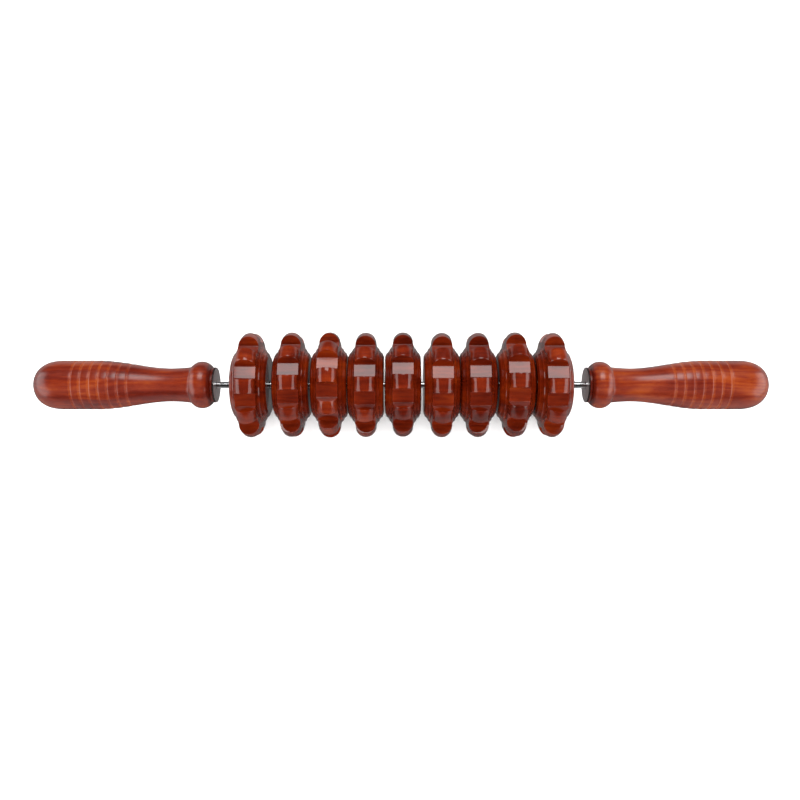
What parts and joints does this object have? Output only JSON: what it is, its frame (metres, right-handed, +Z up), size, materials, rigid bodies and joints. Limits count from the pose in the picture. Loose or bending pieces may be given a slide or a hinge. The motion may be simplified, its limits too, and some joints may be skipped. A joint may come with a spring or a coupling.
{
  "type": "massage roller",
  "caption": "Hand-held wooden massage roller: toothed wheels spin freely on a thin steel rod between two turned handles.",
  "frame": {"origin": "on the surface that the wheels stand on, under the middle of the rod", "axes": "+X along the rod towards the right handle, +Z up, and the rod's axis 31.45 mm above the origin"},
  "size_m": [0.437, 0.0628, 0.0625],
  "materials": {
    "wheel_wood": "dark red-brown stain under gloss lacquer",
    "handle_wood": "red-brown stain under satin lacquer",
    "rod_steel": "bright drawn steel",
    "plate_steel": "flat satin steel",
    "insert_brass": "as machined, hidden in the handle"
  },
  "bodies": {
    "frame": {"axle_rod": "rod_steel", "left_handle": "handle_wood", "right_handle": "handle_wood", "left_end_plate": "plate_steel", "right_end_plate": "plate_steel", "left_threaded_insert": "insert_brass", "right_threaded_insert": "insert_brass"},
    "wheel_1_body": {"wheel_1": "wheel_wood"},
    "wheel_2_body": {"wheel_2": "wheel_wood"},
    "wheel_3_body": {"wheel_3": "wheel_wood"},
    "wheel_4_body": {"wheel_4": "wheel_wood"},
    "wheel_5_body": {"wheel_5": "wheel_wood"},
    "wheel_6_body": {"wheel_6": "wheel_wood"},
    "wheel_7_body": {"wheel_7": "wheel_wood"},
    "wheel_8_body": {"wheel_8": "wheel_wood"},
    "wheel_9_body": {"wheel_9": "wheel_wood"}
  },
  "joints": [
    {"name": "wheel_1_spin", "type": "hinge", "parent": "frame", "child": "wheel_1_body", "pos_m": [-0.08895, 0, 0.03145], "axis": [1, 0, 0], "continuous": true},
    {"name": "wheel_2_spin", "type": "hinge", "parent": "frame", "child": "wheel_2_body", "pos_m": [-0.06455, 0, 0.03145], "axis": [1, 0, 0], "continuous": true},
    {"name": "wheel_3_spin", "type": "hinge", "parent": "frame", "child": "wheel_3_body", "pos_m": [-0.04225, 0, 0.03145], "axis": [1, 0, 0], "continuous": true},
    {"name": "wheel_4_spin", "type": "hinge", "parent": "frame", "child": "wheel_4_body", "pos_m": [-0.02075, 0, 0.03145], "axis": [1, 0, 0], "continuous": true},
    {"name": "wheel_5_spin", "type": "hinge", "parent": "frame", "child": "wheel_5_body", "pos_m": [0.00115, 0, 0.03145], "axis": [1, 0, 0], "continuous": true},
    {"name": "wheel_6_spin", "type": "hinge", "parent": "frame", "child": "wheel_6_body", "pos_m": [0.02405, 0, 0.03145], "axis": [1, 0, 0], "continuous": true},
    {"name": "wheel_7_spin", "type": "hinge", "parent": "frame", "child": "wheel_7_body", "pos_m": [0.0455, 0, 0.03145], "axis": [1, 0, 0], "continuous": true},
    {"name": "wheel_8_spin", "type": "hinge", "parent": "frame", "child": "wheel_8_body", "pos_m": [0.0676, 0, 0.03145], "axis": [1, 0, 0], "continuous": true},
    {"name": "wheel_9_spin", "type": "hinge", "parent": "frame", "child": "wheel_9_body", "pos_m": [0.0896, 0, 0.03145], "axis": [1, 0, 0], "continuous": true}
  ]
}
